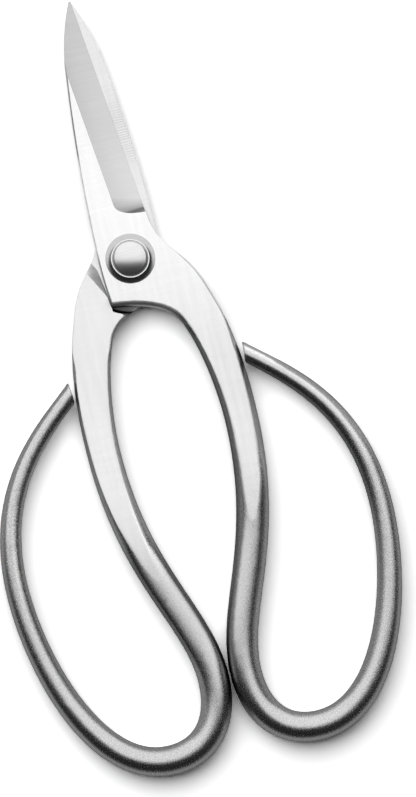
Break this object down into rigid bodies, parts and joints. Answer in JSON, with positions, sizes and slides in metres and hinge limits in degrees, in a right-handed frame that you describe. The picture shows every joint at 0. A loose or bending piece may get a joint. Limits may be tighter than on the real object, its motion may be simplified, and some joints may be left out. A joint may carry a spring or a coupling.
{
  "type": "floral snips",
  "caption": "Steel floral snips: pointed hollow-ground blades, a domed rivet on raised washers, and butterfly handles of tapered round bar bent into open finger loops.",
  "frame": {"origin": "on the pivot axis, on the flat end of the rivet's tail, the lowest point", "axes": "+Y from the pivot to the blade tips, +Z along the pivot axis from the rivet's tail to its domed head, +X towards the upper arm's finger loop"},
  "size_m": [0.1024, 0.2004, 0.0109],
  "materials": {
    "arm_steel": "satin, ground flats and polished bar",
    "rivet_steel": "polished dome",
    "washer_steel": "satin, turned"
  },
  "bodies": {
    "lower_half": {"lower_arm": "arm_steel", "pivot_rivet": "rivet_steel", "lower_washer": "washer_steel", "upper_washer": "washer_steel"},
    "upper_half": {"upper_arm": "arm_steel"}
  },
  "joints": [
    {"name": "pivot", "type": "hinge", "parent": "lower_half", "child": "upper_half", "pos_m": [0, 0, 0.0049], "axis": [0, 0, 1], "range_deg": [0, 28]}
  ]
}
